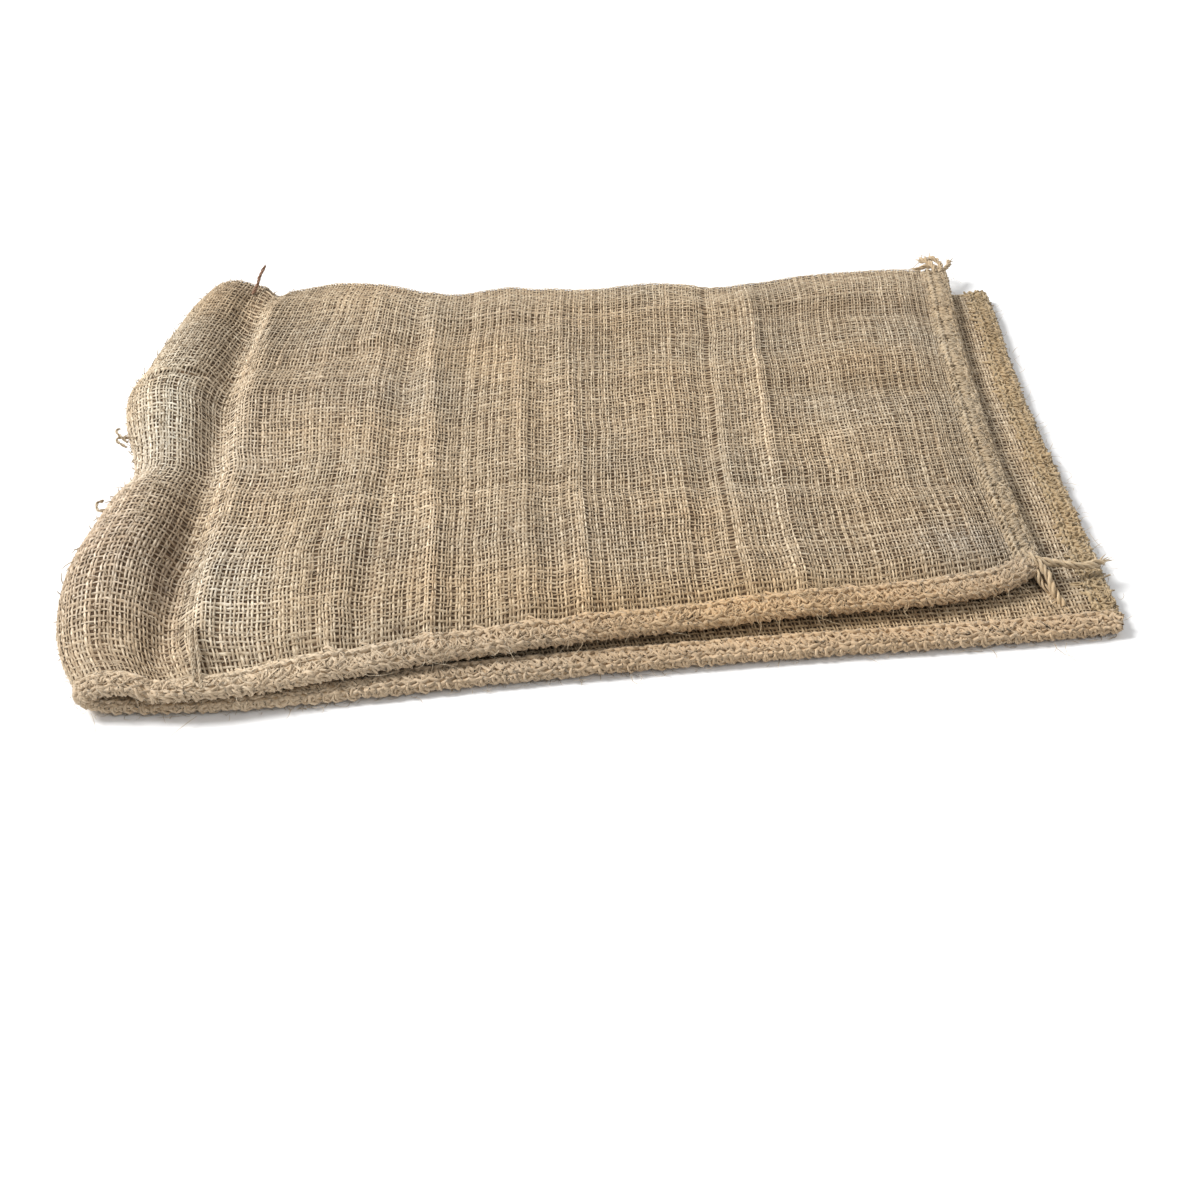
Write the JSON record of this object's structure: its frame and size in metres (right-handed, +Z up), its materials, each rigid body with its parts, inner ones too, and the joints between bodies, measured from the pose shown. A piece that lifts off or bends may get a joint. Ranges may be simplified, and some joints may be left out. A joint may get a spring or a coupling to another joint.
{
  "type": "jute sack",
  "caption": "Open-weave jute sack with whipped side and bottom seams, laid flat and folded once across its length.",
  "frame": {"origin": "on the surface that the sack lies on, under the middle of its bounding box", "axes": "+X along the sack from its fold to its bottom seam and mouth, +Y from its sewn side to its folded side, +Z up"},
  "size_m": [0.4794, 0.3923, 0.0269],
  "materials": {
    "hessian": "matt plain weave, open, slubby",
    "jute_yarn": "matt thick yarn, golden, hairy"
  },
  "bodies": {
    "root": {"sack_cloth": "hessian", "side_seam": "jute_yarn", "bottom_seam": "jute_yarn", "near_corner_tail": "jute_yarn", "far_corner_tail": "jute_yarn"}
  },
  "joints": []
}
